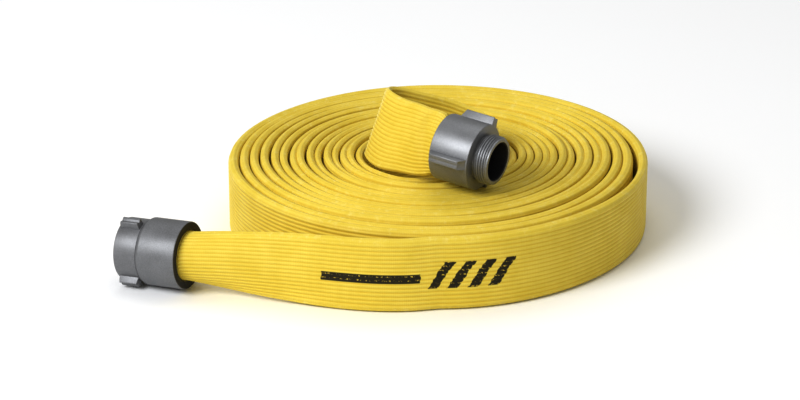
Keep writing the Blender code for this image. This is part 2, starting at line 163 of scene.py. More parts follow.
THREAD_RUNOUT = 0.5
BALL_RADIUS = 0.00238
BALL_CLEARANCE = 0.00034
RACE_RADIUS = 0.02695
RACE_Z = 0.0482
RACE_STEPS = 8
SHELL_SEGMENTS = 168
SHELL_STEPS = 3                 # in each rounded corner of a coupling's profile
LUG_STEPS = 5                   # and of a lug's section
SHELL_SMOOTH = 32.0             # degrees: sharper edges stay sharp
HOSE_SMOOTH = 60.0
FLOOR_SMOOTH = 35.0

# The camera looks along +Y and down, from in front of the roll.
CAMERA_FROM_AXIS = Vector((-0.0384, -2.7428, 1.1420))
CAMERA_DOWN = math.radians(22.16)
CAMERA_LENS = 126.6
CAMERA_SENSOR = 36.0

# Each light: its place, the point it faces, its diameter, its power in watts and its colour.
LIGHTS = {
    "key": ((-3.3, -2.85, 3.45), (0.0, 0.0, 0.0), 2.9, 250.0, (0.985, 1.0, 1.03)),
    "fill": ((2.6, -2.2, 1.8), (0.0, 0.0, 0.05), 2.4, 4.0, (1.0, 1.0, 1.0)),
    "top": ((0.4, 1.7, 4.4), (0.0, 0.0, 0.0), 3.8, 48.0, (0.99, 1.0, 1.02)),
}
SKY_COLOUR = (1.0, 0.99, 0.96, 1.0)
SKY_STRENGTH = 0.44
GAMMA = 0.71
FLOOR_SIZE = 9.0
FLOOR_Z = -0.0004


# ---------------------------------------------------------------- the hose's path
def outer_radius(n):
    """Outer radius of the roll, n turns in from the front where the tail leaves."""
    tight = EYE_RADIUS + TURN_PITCH * (TURNS - n)
    bulge = FRONT_BULGE * math.exp(-((n / BULGE_TURNS) ** 2))
    pressed = BACK_FLAT * math.exp(-(((n - BACK_FLAT_AT) / BACK_FLAT_TURNS) ** 2))
    return tight + LOOSENESS * math.exp(-n / LOOSE_DECAY) + bulge - pressed


def near(n, at, width):
    """How close n is to a place on its turn, from 0 to 1."""
    apart = (n - at + 0.5) % 1.0 - 0.5
    return math.exp(-((apart / width) ** 2))


def thickness(n):
    """Thickness of the hose n turns in: it fills most of the space its turn has."""
    room = TURN_PITCH + LOOSENESS * (math.exp(-n / LOOSE_DECAY) - math.exp(-(n + 1) / LOOSE_DECAY))
    full = ROOM_FILLED * room - LEFT_THINNING * near(n, LEFT_AT, LEFT_TURNS) * math.exp(-n / LEFT_DECAY)
    full -= RIGHT_THINNING * math.exp(-(((n - RIGHT_AT) / RIGHT_TURNS) ** 2))
    return max(FLAT * THINNEST, full)


def waves(n, terms):
    """The sum of sine waves n turns in."""
    return sum(height * math.sin(math.tau * rate * n + phase) for height, rate, phase in terms)


def settle(n):
    """How much the turn strays, from 0 at the roll's two ends to 1 within it."""
    return min(1.0, max(0.0, n - SETTLE_FROM) / SETTLE_TURNS) * min(1.0, max(0.0, TURNS - n) / SETTLE_TURNS)


def lift(n):
    """How far the turn stands above the floor."""
    return LIFT_HEIGHT * settle(n) * max(0.0, LIFT_MEAN + waves(n, LIFT_SLOW) + waves(n, LIFT_QUICK))


def wander(n):
    """How far the turn strays from its spiral, much as its neighbours do."""
    return WANDER_REACH * settle(n) * (waves(n, WANDER_SHARED) + waves(n, WANDER_OWN))


def lean(n):
    """How far the turn's upper edge leans outwards, as a slope."""
    return LEAN_SLOPE * settle(n) * waves(n, LEAN_WAVES)


def spiral_row(n):
    """One row of the hose n turns in: centre, width direction, roundness and thickness."""
    thick = thickness(n)
    radius = outer_radius(n) - thick / 2 + wander(n)
    angle = math.tau * n - math.pi / 2
    shift = EYE_SHIFT * min(1.0, max(0.0, n / EYE_SHIFT_TURNS))
    slope = lean(n)
    across_roll = radius * math.cos(angle)
    pushed = PUSHED_BACK * max(0.0, across_roll) ** 2
    centre = (shift + across_roll, radius * math.sin(angle) + pushed, HOSE_WIDTH / 2 + lift(n))
    across = (slope * math.cos(angle), slope * math.sin(angle), 1.0)
    return [*centre, *across, 0.0, thick]


def spiral_direction(n):
    """Which way the hose runs n turns in."""
    step = 0.001
    return (Vector(spiral_row(n + step)[:3]) - Vector(spiral_row(n - step)[:3])).normalized()


def smooth_path(stations):
    """Centripetal Catmull-Rom curve through stations whose first three values are a position."""
    rows = np.array(stations, float)
    rows = np.vstack([2 * rows[0] - rows[1], rows, 2 * rows[-1] - rows[-2]])
    curve = []
    for i in range(1, len(rows) - 2):
        a, b, c, d = rows[i - 1:i + 3]
        knots = [0.0]
        for p, q in ((a, b), (b, c), (c, d)):
            knots.append(knots[-1] + math.sqrt(np.linalg.norm((q - p)[:3])))
        t0, t1, t2, t3 = knots
        for t in np.linspace(t1, t2, PATH_STEPS, endpoint=False):
            ab = ((t1 - t) * a + (t - t0) * b) / (t1 - t0)
            bc = ((t2 - t) * b + (t - t1) * c) / (t2 - t1)
            cd = ((t3 - t) * c + (t - t2) * d) / (t3 - t2)
            abc = ((t2 - t) * ab + (t - t0) * bc) / (t2 - t0)
            bcd = ((t3 - t) * bc + (t - t1) * cd) / (t3 - t1)
            curve.append(((t2 - t) * abc + (t - t1) * bcd) / (t2 - t1))
    curve.append(rows[-2])
    return np.array(curve)


def lengths_along(rows):
    """Distance along the hose to each row."""
    return np.concatenate([[0.0], np.cumsum(np.linalg.norm(np.diff(rows[:, :3], axis=0), axis=1))])


def respaced(rows, spacing):
    """The same path with its rows evenly spaced."""
    along = lengths_along(rows)
    count = max(2, round(along[-1] / spacing) + 1)
    wanted = np.linspace(0.0, along[-1], count)
    return np.column_stack([np.interp(wanted, along, rows[:, k]) for k in range(rows.shape[1])])


def tail_rows():
    """From the female coupling to the roll's front: centre, width direction, roundness, thickness."""
    out = -FEMALE_AXIS
    upright = (0.0, 0.0, 1.0)
    stations = [
        (*(FEMALE_REAR + out * GAP), *upright, 1.00, FLAT),
        (*(FEMALE_REAR + out * 0.0120), *upright, 0.86, FLAT),
        (-0.2100, -0.1880, 0.0377, *upright, 0.58, FLAT),
        (-0.1780, -0.1982, 0.0380, *upright, 0.32, FLAT),
        (-0.1470, -0.2075, 0.0383, *upright, 0.14, 0.0080),
        (-0.1180, -0.2162, 0.0385, *upright, 0.04, 0.0086),
        (-0.0885, -0.2232, 0.0385, *upright, 0.00, 0.0094),
        (-0.0600, -0.2272, 0.0385, *upright, 0.00, 0.0102),
        (-0.0300, -0.2268, 0.0385, *upright, 0.00, 0.0112),
    ]
    stations += [spiral_row(0.0), spiral_row(TAIL_OVERLAP)]
    return smooth_path(stations)[:-PATH_STEPS]


def lead_rows():
    """From the innermost turn, once round the eye while it climbs, over a fold and to the male coupling."""
    back = -MALE_AXIS
    stations = [
        spiral_row(TURNS - LEAD_OVERLAP),
        spiral_row(TURNS),
        (-0.0765, -0.0240, 0.0386, 0.00, 0.00, 1.00, 0.00, FLAT),
        (-0.0648, -0.0440, 0.0387, 0.00, 0.00, 1.00, 0.00, FLAT),
        (-0.0350, -0.0668, 0.0388, 0.00, 0.00, 1.00, 0.00, FLAT),
        (0.0080, -0.0685, 0.0402, -0.05, 0.00, 1.00, 0.00, FLAT),
        (0.0440, -0.0520, 0.0470, -0.12, -0.02, 1.00, 0.00, FLAT),
        (0.0608, -0.0140, 0.0590, -0.06, -0.18, 1.00, 0.00, FLAT),
        (0.0472, 0.0196, 0.0740, 0.15, -0.10, 1.00, 0.00, FLAT),
        (0.0120, 0.0280, 0.0870, 0.25, 0.06, 1.00, 0.00, FLAT),
        (-0.0260, 0.0220, 0.0990, 0.26, 0.18, 1.00, 0.00, FLAT),
        (-0.0500, 0.0150, 0.1074, 0.30, 0.16, 1.00, 0.00, 0.0070),
        (-0.0612, 0.0065, 0.1112, 0.33, 0.08, 1.00, 0.00, 0.0062),
        (-0.0585, -0.0090, 0.1112, 0.30, 0.30, 1.00, 0.00, 0.0062),
        (-0.0472, -0.0288, 0.1110, 0.28, 0.49, 1.00, 0.00, 0.0070),
        (-0.0300, -0.0465, 0.1130, 0.25, 0.48, 1.00, 0.09, FLAT),
        (-0.0140, -0.0662, 0.1162, 0.20, 0.39, 1.00, 0.22, FLAT),
        (*(MALE_REAR + back * 0.0130), 0.16, 0.31, 1.0, 0.38, FLAT),
        (*(MALE_REAR + back * 0.0050), 0.13, 0.24, 1.0, 0.56, FLAT),
        (*(MALE_REAR + back * GAP), 0.10, 0.10, 1.0, 1.00, FLAT),
    ]
    return smooth_path(stations)[PATH_STEPS:]


def turns_between(first, last):
    """Rows of the wound hose from one turn count to another."""
    count = round((last - first) * ROWS_PER_TURN)
    return np.array([spiral_row(first + (last - first) * i / count) for i in range(count + 1)])


# ---------------------------------------------------------------- materials
class Nodes:
    """A material's node tree, with short ways to add to it."""

    def __init__(self, name):
        self.material = bpy.data.materials.new(name)
        self.material.use_nodes = True
        self.tree = self.material.node_tree
        self.shader = self.tree.nodes["Principled BSDF"]

    def add(self, kind, inputs=None, **settings):
        """A node with its settings, and its inputs set or linked by name or number."""
        node = self.tree.nodes.new(kind)
        for key, value in settings.items():
            setattr(node, key, value)
        for key, value in (inputs or {}).items():
            self.put(node.inputs[key], value)
        return node

    def put(self, socket, value):
        """Set a socket, or link another node's socket to it."""
        if isinstance(value, bpy.types.NodeSocket):
            self.tree.links.new(value, socket)
        else:
            socket.default_value = value

    def math(self, operation, *values):
        return self.add("ShaderNodeMath", dict(enumerate(values)), operation=operation).outputs[0]

    def mix(self, factor, a, b):
        node = self.add("ShaderNodeMix", data_type="RGBA")
        self.put(node.inputs["Factor"], factor)
        self.put(node.inputs["A"], a)
        self.put(node.inputs["B"], b)
        return node.outputs["Result"]

    def ramp(self, value, low, high, to_low=0.0, to_high=1.0):
        """A value taken from one range to another, with smooth ends."""
        inputs = {"Value": value, "From Min": low, "From Max": high, "To Min": to_low, "To Max": to_high}
        return self.add("ShaderNodeMapRange", inputs, interpolation_type="SMOOTHSTEP").outputs[0]

    def noise(self, vector, scale, detail=3.0, roughness=0.5):
        inputs = {"Vector": vector, "Scale": scale, "Detail": detail, "Roughness": roughness}
        return self.add("ShaderNodeTexNoise", inputs).outputs["Fac"]

    def bump(self, height, distance, strength, normal=None):
        inputs = {"Height": height, "Distance": distance, "Strength": strength}
        if normal is not None:
            inputs["Normal"] = normal
        return self.add("ShaderNodeBump", inputs).outputs["Normal"]


def rgb(red, green, blue):
    return (red, green, blue, 1.0)


def inside(m, value, low, high, soft):
    """1 where a value is between two limits, with soft edges."""
    rise = m.ramp(value, low - soft, low + soft)
    fall = m.ramp(value, high - soft, high + soft, 1.0, 0.0)
    return m.math("MULTIPLY", rise, fall)


def hose_material(worn_at):
    """Yellow ribbed rubber over a woven jacket.  UV is metres along it and the share of the way round."""
    m = Nodes("yellow_ribbed_rubber")
    uv = m.add("ShaderNodeUVMap", uv_map="hose")
    split = m.add("ShaderNodeSeparateXYZ", {0: uv.outputs[0]}).outputs
    along, around = split[0], split[1]
    place = m.add("ShaderNodeTexCoord").outputs["Object"]

    # Ribs: 1 on a crest, 0 in a groove.
    turn = m.math("MULTIPLY", around, math.tau * RIB_COUNT)
    crest = m.math("MULTIPLY_ADD", m.math("COSINE", turn), 0.5, 0.5)
    # Where the colour is darkened in the rib grooves as painted shade, less on the hose's folded edges.
    groove = m.ramp(crest, 0.0, 0.42, 1.0, 0.0)
    fold = m.ramp(m.math("COSINE", m.math("MULTIPLY", around, math.tau * 2)), 0.70, 0.93)
    groove = m.math("MULTIPLY", groove, m.math("MULTIPLY_ADD", fold, -0.65, 1.0))

    # Weave: fine cross lines, and a finer line along each rib, both felt through the rubber.
    cross = m.math("SINE", m.math("MULTIPLY", along, math.tau / WEAVE_PITCH))
    strands = m.math("COSINE", m.math("MULTIPLY", around, math.tau * RIB_COUNT * STRANDS_PER_RIB))
    worn = m.noise(place, 34.0, 3.0, 0.6)
    fine = m.noise(place, 900.0, 2.0, 0.6)
    weave = m.math("ADD", m.math("MULTIPLY", cross, 0.55), m.math("MULTIPLY", strands, 0.45))
    weave = m.math("MULTIPLY", weave, m.ramp(worn, 0.30, 0.70, 0.45, 1.0))

    # Colour: darker in the rib grooves and between the threads of the weave, both painted shade, and paler
    # where it is rubbed or scuffed.
    yellow, pale = rgb(0.740, 0.590, 0.094), rgb(0.805, 0.660, 0.132)
    painted_groove_shade, painted_weave_shade = rgb(0.600, 0.365, 0.012), rgb(0.650, 0.430, 0.024)
    rubbed_pale, scuffed = rgb(0.86, 0.78, 0.36), rgb(0.90, 0.78, 0.24)
    ink = rgb(0.011, 0.010, 0.009)
    base = m.mix(m.ramp(worn, 0.25, 0.75), yellow, pale)
    # Painted shade in the rib grooves.
    base = m.mix(m.math("MULTIPLY", groove, 0.42), base, painted_groove_shade)
    # Painted shade between the threads of the weave.
    base = m.mix(m.math("MULTIPLY", m.ramp(weave, 0.35, -0.75), 0.20), base, painted_weave_shade)
    far = m.math("ABSOLUTE", m.math("SUBTRACT", along, worn_at))
    rubbed = m.math("MULTIPLY", m.ramp(far, 0.010, 0.001), m.ramp(fine, 0.38, 0.58))
    edge = m.math("MULTIPLY", fold, m.ramp(m.noise(place, 150.0, 4.0, 0.7), 0.50, 0.72, 0.0, 0.35))
    rubbed = m.math("MAXIMUM", m.math("MULTIPLY", rubbed, 0.75), edge)
    base = m.mix(rubbed, base, rubbed_pale)
    scuff = m.ramp(m.noise(place, 11.0, 5.0, 0.65), 0.58, 0.80)
    base = m.mix(m.math("MULTIPLY", m.math("MULTIPLY", scuff, crest), 0.22), base, scuffed)

    # Generic marks in black ink: a long bar, then slanting strokes.  The ink is ragged from rib to rib.
    rib = m.math("ROUND", m.math("MULTIPLY", around, RIB_COUNT))
    jitter = m.add("ShaderNodeTexWhiteNoise", {"W": rib}, noise_dimensions="1D").outputs["Value"]
    smear = m.math("MULTIPLY_ADD", m.math("ADD", jitter, m.noise(place, 260.0, 2.0)), INK_SMEAR, -INK_SMEAR)
    spot = m.math("ADD", along, smear)
    inked = m.math("MULTIPLY", inside(m, spot, *INK_BAR, INK_SOFT),
                   inside(m, around, *INK_BAR_SHARE, INK_SOFT_SHARE))
    slanted = m.math("MULTIPLY_ADD", around, -INK_SLANT, spot)
    stroke = m.math("MODULO", m.math("SUBTRACT", slanted, INK_STROKES[0]), INK_STROKE_STEP)
    strokes = m.math("MULTIPLY", inside(m, stroke, 0.0, INK_STROKE_WIDTH, INK_SOFT),
                     inside(m, slanted, *INK_STROKES, INK_SOFT))
    strokes = m.math("MULTIPLY", strokes, inside(m, around, *INK_STROKE_SHARE, INK_SOFT_SHARE))
    inked = m.math("MAXIMUM", inked, strokes)
    worn_ink = m.ramp(m.noise(place, 420.0, 3.0, 0.7), 0.36, 0.46)
    inked = m.math("MULTIPLY", inked, m.math("MAXIMUM", worn_ink, m.ramp(crest, 0.10, 0.35)))
    base = m.mix(m.math("MULTIPLY", inked, 0.97), base, ink)
    m.put(m.shader.inputs["Base Color"], base)

    rough = m.ramp(m.noise(place, 60.0, 2.0), 0.2, 0.8, 0.46, 0.60)
    m.put(m.shader.inputs["Roughness"], rough)
    m.shader.inputs["Specular IOR Level"].default_value = 0.26
    m.shader.inputs["Sheen Weight"].default_value = 0.06
    m.shader.inputs["Sheen Roughness"].default_value = 0.45
    m.shader.inputs["Sheen Tint"].default_value = rgb(1.0, 0.90, 0.55)

    height = m.math("ADD", m.math("MULTIPLY", weave, 0.5), m.math("MULTIPLY", fine, 0.5))
    ribs = m.bump(crest, 0.00022, 0.6)
    for crease in CREASES:
        off = m.math("ABSOLUTE", m.math("SUBTRACT", along, crease))
        ribs = m.bump(m.ramp(off, CREASE_REACH, 0.0), CREASE_DEPTH, 0.5, ribs)
    m.put(m.shader.inputs["Normal"], m.bump(height, 0.00016, 0.55, ribs))
    return m.material


def lining_material():
    """Black rubber lining."""
    m = Nodes("black_rubber")
    place = m.add("ShaderNodeTexCoord").outputs["Object"]
    grain = m.noise(place, 420.0, 4.0, 0.6)
    m.put(m.shader.inputs["Base Color"], m.mix(grain, rgb(0.010, 0.010, 0.011), rgb(0.026, 0.026, 0.028)))
    m.put(m.shader.inputs["Roughness"], m.ramp(grain, 0.2, 0.8, 0.62, 0.85))
    m.put(m.shader.inputs["Normal"], m.bump(grain, 0.0002, 0.4))
    return m.material


def metal_material(name, dark, light, rough, metallic=1.0, grain_size=0.00035):
    """Metal with a fine grain, softly mottled, and rubbed brighter here and there."""
    m = Nodes(name)
    place = m.add("ShaderNodeTexCoord").outputs["Object"]
    mottle = m.noise(place, 38.0, 3.0, 0.5)
    grain = m.noise(place, 1.0 / grain_size, 2.0, 0.5)
    rub = m.ramp(m.noise(place, 130.0, 5.0, 0.7), 0.52, 0.78)
    coarse = m.noise(place, 0.45 / grain_size, 3.0, 0.8)
    speckle = m.math("MULTIPLY_ADD", coarse, 0.75, m.math("MULTIPLY", mottle, 0.25))
    base = m.mix(m.ramp(speckle, 0.32, 0.68), rgb(*dark), rgb(*light))
    base = m.mix(m.math("MULTIPLY", rub, 0.12), base, rgb(*(min(1.0, c * 1.5) for c in light)))
    m.put(m.shader.inputs["Base Color"], base)
    m.shader.inputs["Metallic"].default_value = metallic
    spread = m.math("MULTIPLY_ADD", grain, 0.5, m.math("MULTIPLY", mottle, 0.5))
    m.put(m.shader.inputs["Roughness"], m.ramp(spread, 0.25, 0.75, *rough))
    m.put(m.shader.inputs["Normal"], m.bump(grain, 0.00010, 0.45))
    return m.material


RUBBER = lining_material()
MALE_METAL = metal_material("anodised_light", (0.225, 0.228, 0.234), (0.325, 0.329, 0.337),
                            rough=(0.42, 0.52), metallic=0.64)
FEMALE_METAL = metal_material("anodised_dark", (0.165, 0.167, 0.171), (0.275, 0.278, 0.285),
                              rough=(0.40, 0.54), metallic=0.40)
SWIVEL_METAL = metal_material("anodised_swivel", (0.175, 0.176, 0.181), (0.275, 0.277, 0.284),
                              rough=(0.40, 0.54), metallic=0.40)
# Painted shade: a near-black metal for the waterway, the pocket and the rear rim, standing in for the shade
# there.
PAINTED_SHADE_METAL = metal_material("bore_painted_shade", (0.020, 0.020, 0.021), (0.038, 0.038, 0.040),
                            rough=(0.50, 0.70), metallic=0.2)
BRASS = metal_material("drawn_brass", (0.50, 0.34, 0.12), (0.64, 0.46, 0.18), rough=(0.25, 0.40))
STEEL = metal_material("bearing_steel", (0.50, 0.50, 0.52), (0.62, 0.62, 0.64), rough=(0.10, 0.22),
                       grain_size=0.0008)


# ---------------------------------------------------------------- mesh helpers
def piece(name, body, materials, smooth_angle):
    """A bmesh made into a shaded object."""
    bmesh.ops.recalc_face_normals(body, faces=body.faces)
    mesh = bpy.data.meshes.new(name)
    body.to_mesh(mesh)
    body.free()
    for item in materials:
        mesh.materials.append(item)
    for polygon in mesh.polygons:
        polygon.use_smooth = True
    mesh.set_sharp_from_angle(angle=math.radians(smooth_angle))
    obj = bpy.data.objects.new(name, mesh)
    bpy.context.scene.collection.objects.link(obj)
    return obj


def flat_outline(thick, share):
    """Point of the flattened hose's outline, as (across, through), for a share of the way round it.

    It starts at the lower fold and goes up the outer face, over the upper fold and down the inner face.
    """
    bend = thick / 2
    straight = HOSE_WIDTH - thick
    arc = math.pi * bend
    distance = (share % 1.0) * 2 * (straight + arc)
    if distance < arc / 2:
        angle = distance / bend
        return -straight / 2 - bend * math.cos(angle), bend * math.sin(angle)
    distance -= arc / 2
    if distance < straight:
        return -straight / 2 + distance, bend
    distance -= straight
    if distance < arc:
        angle = distance / bend
        return straight / 2 + bend * math.sin(angle), bend * math.cos(angle)
    distance -= arc
    if distance < straight:
        return straight / 2 - distance, -bend
    angle = (distance - straight) / bend
    return -straight / 2 - bend * math.sin(angle), -bend * math.cos(angle)


def hose_ring(count, roundness, thick, inset=0.0, ribbed=True):
    """Outline of the hose at one place, as an array of (across, through)."""
    roundness = min(1.0, max(0.0, roundness))
    shares = np.arange(count) / count
    flat = np.array([flat_outline(thick, share) for share in shares])
    turn = math.tau * shares
    full = HOSE_RADIUS * np.column_stack([-np.cos(turn), np.sin(turn)])
    outline = flat * (1.0 - roundness) + full * roundness
    edge = np.roll(outline, -1, axis=0) - np.roll(outline, 1, axis=0)
    outward = np.column_stack([-edge[:, 1], edge[:, 0]])
    outward /= np.linalg.norm(outward, axis=1)[:, None]
    crest = 0.5 + 0.5 * np.cos(math.tau * RIB_COUNT * shares)
    fold = np.clip((np.cos(2 * math.tau * shares) - FOLD_FROM) / FOLD_SPAN, 0.0, 1.0) * (1.0 - roundness)
    rise = np.zeros(count)
    if ribbed:
        rise = RIB_HEIGHT * (1.0 - FOLD_FADE * fold) * (crest ** RIB_SHARPNESS - 1.0)
    return outline + outward * (rise - inset)[:, None]


def hose_piece(name, rows, points_per_rib, start_along, first_direction, last_direction,
               open_first=False, open_last=False):
    """A length of hose swept along its rows, its first and last rings square to the directions given.

    An open end shows the wall and the black lining inside.
    """
    centres = rows[:, :3] + np.array(ROLL_AXIS)
    tangents = np.gradient(rows[:, :3], axis=0)
    tangents /= np.linalg.norm(tangents, axis=1)[:, None]
    tangents[0] = first_direction
    tangents[-1] = last_direction
    across = rows[:, 3:6] - np.sum(rows[:, 3:6] * tangents, axis=1)[:, None] * tangents
    across /= np.linalg.norm(across, axis=1)[:, None]
    through = np.cross(tangents, across)
    along = start_along + lengths_along(rows)
    count = RIB_COUNT * points_per_rib

    def ring_points(index, inset=0.0, ribbed=True):
        outline = hose_ring(count, rows[index, 6], rows[index, 7], inset, ribbed)
        return centres[index] + outline[:, :1] * across[index] + outline[:, 1:] * through[index]

    body = bmesh.new()
    uv = body.loops.layers.uv.new("hose")

    def add_ring(points):
        return [body.verts.new(p) for p in points]

    def join(lower, upper, low_along, high_along, slot=0):
        for i in range(count):
            k = (i + 1) % count
            face = body.faces.new((lower[i], lower[k], upper[k], upper[i]))
            face.material_index = slot
            spots = ((low_along, i), (low_along, i + 1), (high_along, i + 1), (high_along, i))
            for loop, (length, step) in zip(face.loops, spots):
                loop[uv].uv = (length, step / count)

    rings = [add_ring(ring_points(i)) for i in range(len(rows))]
    for i in range(len(rows) - 1):
        join(rings[i], rings[i + 1], along[i], along[i + 1])

    def close(index, step, opened):
        ring = rings[index]
        if opened:
            inner = add_ring(ring_points(index, LINING_WALL, False))
            join(ring, inner, along[index], along[index])
            depth = 0
            while rows[index, 6] > BORE_ROUNDNESS and depth < BORE_ROWS:
                index += step
                depth += 1
                deeper = add_ring(ring_points(index, LINING_WALL, False))
                join(inner, deeper, along[index], along[index], 1)
                inner = deeper
            ring = inner
        cap = body.faces.new(ring)
        cap.material_index = 1 if opened else 0
        cap.smooth = False

    close(0, 1, open_first)
    close(-1 % len(rows), -1, open_last)
    return piece(name, body, [HOSE, RUBBER], HOSE_SMOOTH)


def rounded(corners, steps):
    """A closed outline from (x, y, radius) corners, each rounded by its radius."""
    nearly_straight, most_of_half = 0.02, 0.49
    points = []
    count = len(corners)
    for i in range(count):
        before = Vector(corners[i - 1][:2])
        here = Vector(corners[i][:2])
        after = Vector(corners[(i + 1) % count][:2])
        radius = corners[i][2]
        one = (before - here).normalized()
        two = (after - here).normalized()
        angle = one.angle(two)
        if radius <= 0.0 or angle > math.pi - nearly_straight:
            points.append(here)
            continue
        reach = min(radius / math.tan(angle / 2), most_of_half * (before - here).length,
                    most_of_half * (after - here).length)
        for k in range(steps + 1):
            t = k / steps
            points.append((here + one * reach).lerp(here, t).lerp(here.lerp(here + two * reach, t), t))
    return [(p.x, p.y) for p in points]


def frame_of(origin, axis):
    """The matrix of a coupling: +Z along its axis, +X level."""
    level = Vector((0.0, 0.0, 1.0)).cross(axis).normalized()
    upright = axis.cross(level)
    turned = Matrix((level, upright, axis)).transposed().to_4x4()
    return Matrix.Translation(origin + ROLL_AXIS) @ turned


def lathe(body, profile, slot_of=None):
    """Turn a closed outline of (radius, z) about Z."""
    rings = []
    for i in range(SHELL_SEGMENTS):
        angle = math.tau * i / SHELL_SEGMENTS
        rings.append([body.verts.new((r * math.cos(angle), r * math.sin(angle), z)) for r, z in profile])
    for i in range(SHELL_SEGMENTS):
        here, after = rings[i], rings[(i + 1) % SHELL_SEGMENTS]
        for k in range(len(profile)):
            j = (k + 1) % len(profile)
            face = body.faces.new((here[k], after[k], after[j], here[j]))
            if slot_of is not None:
                middle = ((profile[k][0] + profile[j][0]) / 2, (profile[k][1] + profile[j][1]) / 2)
                face.material_index = slot_of(*middle)


def lug(body, base_radius, rise, angle, width, span, slopes, groove):
    """A rocker lug: rounded ridges along its two edges, a dished top, and sloping ends."""
    start, end = span
    root = base_radius - LUG_ROOT
    top = base_radius + rise
    half = width / 2
    section = rounded([
        (root, -half, 0.0), (top, -half * 0.86, 0.0011),
        (top - groove * 0.3, -half * 0.34, 0.0012), (top - groove, 0.0, 0.0016),
        (top - groove * 0.3, half * 0.34, 0.0012),
        (top, half * 0.86, 0.0011), (root, half, 0.0),
    ], LUG_STEPS)
    rear, front = slopes
    length = end - start
    inner = length - LUG_SOFT

    def height_left(share):
        return 1.0 - LUG_SOFT * (1 - math.sqrt(1 - (1 - 2 * share) ** 2)) / rise

    # Each row is (z, how much of the height is left): the ends slope, with softened corners.
    rows = [(start + share * LUG_SOFT, height_left(share)) for share in (0.0, 0.04, 0.12, 0.25, 0.5)]
    rows += [(start + inner + share * LUG_SOFT, height_left(share)) for share in (0.5, 0.75, 0.88, 0.96, 1.0)]
    turn = Matrix.Rotation(angle, 3, "Z")
    rings = []
    for z, left in rows:
        ring = []
        for x, y in section:
            above = max(0.0, x - base_radius) / rise
            tuck = (1.0 - left) * above
            height = x - tuck * rise
            side = y * (1.0 - 0.5 * (1.0 - left) * rise / half)
            shift = rear * above if z < start + length / 2 else -front * above
            ring.append(body.verts.new(turn @ Vector((height, side, z + shift))))
        rings.append(ring)
    count = len(section)
    for lower, upper in zip(rings, rings[1:]):
        for i in range(count):
            k = (i + 1) % count
            body.faces.new((lower[i], lower[k], upper[k], upper[i]))
    body.faces.new(rings[0])
    body.faces.new(rings[-1])


def thread_band(body, start, end, minor, major, plain):
    """A ring with a helical thread outside, or inside if the radius of its plain side is the larger."""
    segments = THREAD_SEGMENTS
    rows = round((end - start) / THREAD_PITCH * THREAD_ROWS)
    external = plain < major
    rings = []
    for j in range(rows + 1):
        z = start + (end - start) * j / rows
        ring = []
        for i in range(segments):
            angle = math.tau * i / segments
            phase = (z / THREAD_PITCH - angle / math.tau) % 1.0
            tooth = min(phase, 1.0 - phase) * 2.0
            height = min(1.0, max(0.0, (tooth - THREAD_ROOT) / THREAD_FLANK))
            radius = minor + (major - minor) * height
            if external:
                fade = min(1.0, max(0.0, (z - start) / (THREAD_START * THREAD_PITCH)))
                fade = min(fade, max(0.0, (end - z) / (THREAD_RUNOUT * THREAD_PITCH)))
                radius = minor + (major - minor) * height * fade
            ring.append(body.verts.new((radius * math.cos(angle), radius * math.sin(angle), z)))
        rings.append(ring)
    for z in (end, start):
        ring = []
        for i in range(segments):
            angle = math.tau * i / segments
            ring.append(body.verts.new((plain * math.cos(angle), plain * math.sin(angle), z)))
        rings.append(ring)
    for j in range(len(rings)):
        lower, upper = rings[j], rings[(j + 1) % len(rings)]
        for i in range(segments):
            k = (i + 1) % segments
            body.faces.new((lower[i], lower[k], upper[k], upper[i]))


def painted_shade_slots(pocket):
    """Gives each face of a coupling its slot: 1, the near-black metal of painted shade, in the waterway, in
    the pocket and on the rear rim.
    """
    def slot(radius, z):
        in_pocket = radius < SHADE_POCKET and z < pocket
        return 1 if radius < SHADE_WATERWAY or in_pocket or z < SHADE_RIM else 0
    return slot


def male_shell():
    """The male coupling's one-piece body."""
    body = bmesh.new()
    profile = rounded([
        (0.0238, 0.0465, 0.0), (0.0228, 0.0460, 0.0003), (0.0228, 0.0440, 0.0005),
        (BOWL_RADIUS, 0.0440, 0.0011), (BOWL_RADIUS, 0.0000, 0.0013),
        (MOUTH_RADIUS, 0.0000, 0.0005), (POCKET_RADIUS, MOUTH_DEPTH, 0.0004),
        (POCKET_RADIUS, MALE_POCKET, 0.0003), (WATERWAY_RADIUS, MALE_POCKET, 0.0003),
        (WATERWAY_RADIUS, 0.0603, 0.0004), (0.0205, 0.0613, 0.0003), (0.0238, 0.0613, 0.0005),
        (0.0238, 0.0592, 0.0),
    ], SHELL_STEPS)
    lathe(body, profile, painted_shade_slots(MALE_POCKET))
    thread_band(body, start=0.0462, end=0.0600, minor=0.02365, major=0.02535, plain=0.0215)
    for i, shape in enumerate((SHORT_LUG, LONG_LUG, SHORT_LUG)):
        lug(body, BOWL_RADIUS, LUG_RISE, MALE_LUG_ANGLE + math.tau * i / LUG_COUNT, **shape)
    bmesh.ops.transform(body, matrix=frame_of(MALE_REAR, MALE_AXIS), verts=body.verts)
    obj = piece("male_coupling_shell", body, [MALE_METAL, PAINTED_SHADE_METAL], SHELL_SMOOTH)
    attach(obj, "hose")
    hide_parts("male_bowl")
    return obj


def race_groove(start, end):
    """The ball race's groove, as (radius, z, 0) corners, angles in degrees from the outward direction."""
    points = []
    for i in range(RACE_STEPS + 1):
        angle = math.radians(start + (end - start) * i / RACE_STEPS)
        radius = BALL_RADIUS + BALL_CLEARANCE
        points.append((RACE_RADIUS + radius * math.cos(angle), RACE_Z + radius * math.sin(angle), 0.0))
    return points


